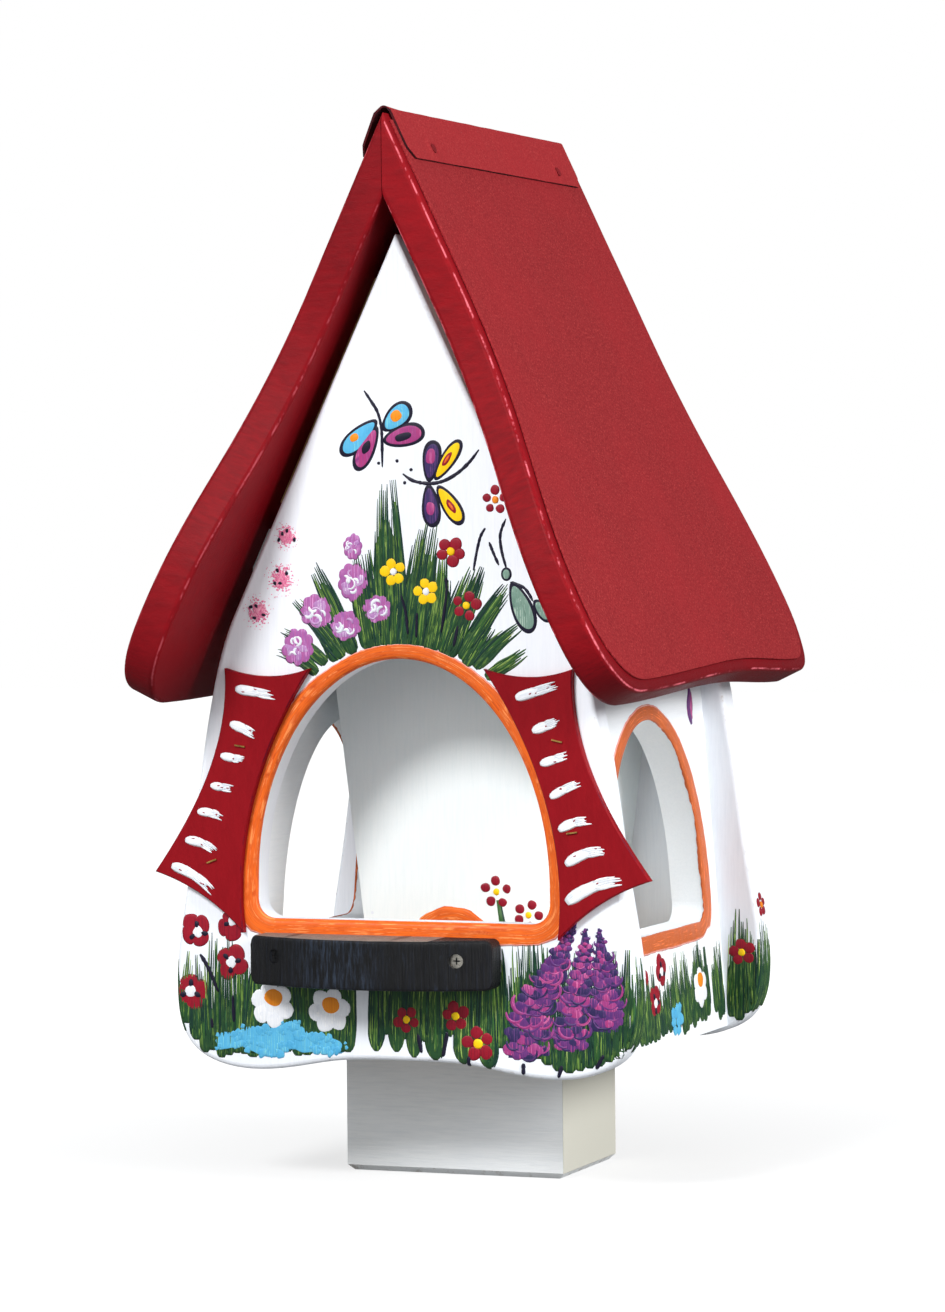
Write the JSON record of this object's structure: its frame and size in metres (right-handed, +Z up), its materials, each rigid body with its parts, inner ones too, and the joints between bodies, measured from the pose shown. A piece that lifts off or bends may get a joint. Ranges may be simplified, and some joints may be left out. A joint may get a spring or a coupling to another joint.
{
  "type": "bird feeder house",
  "caption": "Painted wooden bird feeder house with a steep flared roof, arched openings, shutters, a landing ledge and a seed silo filled under one lifting roof board.",
  "frame": {"origin": "centre of the base block's underside", "axes": "+Z up, -Y towards the front opening and landing ledge, +X to the right seen from the front"},
  "size_m": [0.2712, 0.329, 0.5442],
  "materials": {
    "painted_wood": "matte white paint with painted flowers and grass",
    "bare_wood": "sawn softwood",
    "black_wood": "satin black paint",
    "red_wood": "satin dark red paint",
    "roof_canvas": "painted woven roof covering",
    "ridge_felt": "painted flexible strip",
    "painted_tack": "painted over",
    "staple_wire": "brass coloured wire",
    "screw_steel": "zinc plated"
  },
  "bodies": {
    "house": {"front_gable": "painted_wood", "back_gable": "painted_wood", "wall_right": "painted_wood", "wall_left": "painted_wood", "floor_board": "bare_wood", "base_block": "painted_wood", "silo_front": "painted_wood", "silo_side_right": "painted_wood", "silo_side_left": "painted_wood", "landing_ledge": "black_wood", "shutter_right": "red_wood", "shutter_left": "red_wood", "cleat_front_right": "bare_wood", "cleat_back_right": "bare_wood", "cleat_front_left": "bare_wood", "cleat_back_left": "bare_wood", "roof_board_right": "red_wood", "roof_sheet_right": "roof_canvas", "ridge_flap_right": "ridge_felt", "ridge_tacks_right": "painted_tack", "shutter_staples": "staple_wire", "ledge_screws": "screw_steel", "block_screws": "screw_steel", "roof_screws": "screw_steel", "body_brads": "screw_steel", "silo_brads": "screw_steel", "cleat_brads": "screw_steel"},
    "lid": {"roof_board_left": "red_wood", "roof_sheet_left": "roof_canvas", "ridge_flap_left": "ridge_felt", "ridge_tacks_left": "painted_tack"}
  },
  "joints": [
    {"name": "lid_hinge", "type": "hinge", "parent": "house", "child": "lid", "pos_m": [0, 0, 0.5442], "axis": [0, 1, 0], "range_deg": [0, 110]}
  ]
}
